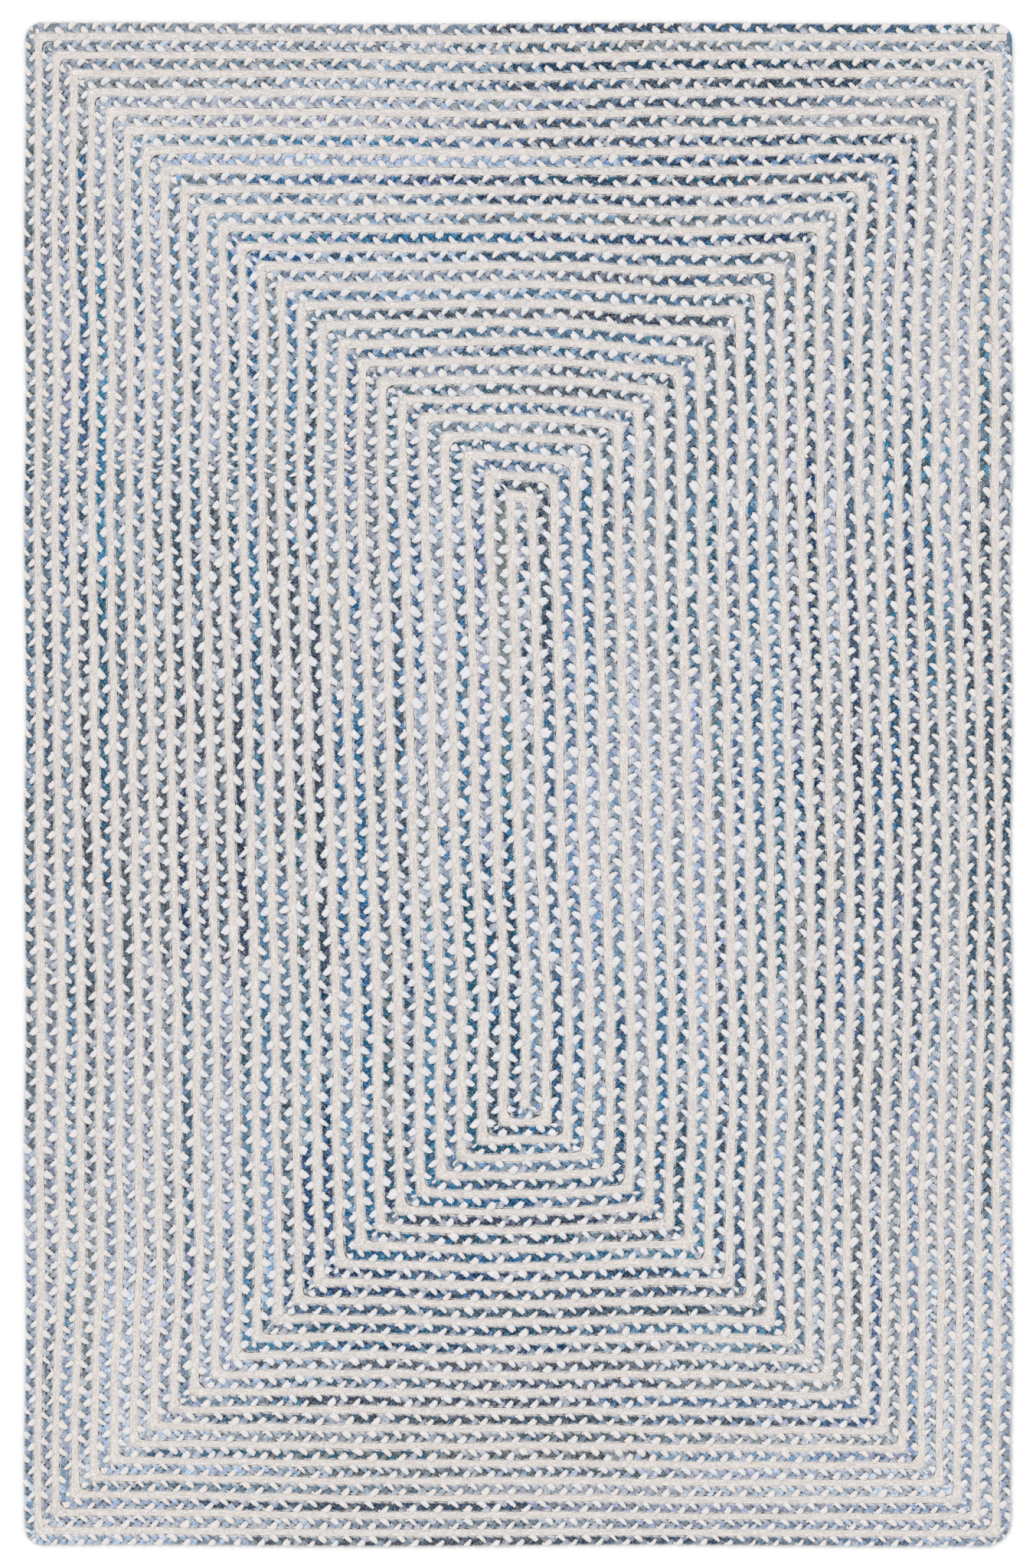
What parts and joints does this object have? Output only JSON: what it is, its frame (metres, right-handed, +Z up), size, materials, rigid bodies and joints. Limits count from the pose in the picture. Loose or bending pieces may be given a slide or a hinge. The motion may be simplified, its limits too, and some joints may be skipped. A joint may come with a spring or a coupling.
{
  "type": "braided rug",
  "caption": "Flat rectangular floor rug: a denim plait and an ivory cotton tape coiled side by side from the middle outwards and sewn edge to edge.",
  "frame": {"origin": "middle of the underside", "axes": "+Z up out of the rug's face, +Y along its length towards the end where both braids finish, +X across its width"},
  "size_m": [1.5218, 2.3465, 0.0085],
  "materials": {
    "denim": "matt strips of worn denim in many blues and greys, plaited with one strand of white cotton",
    "cotton": "matt warm ivory cotton with a fine grain"
  },
  "bodies": {
    "root": {"denim_plait": "denim", "ivory_tape": "cotton"}
  },
  "joints": []
}
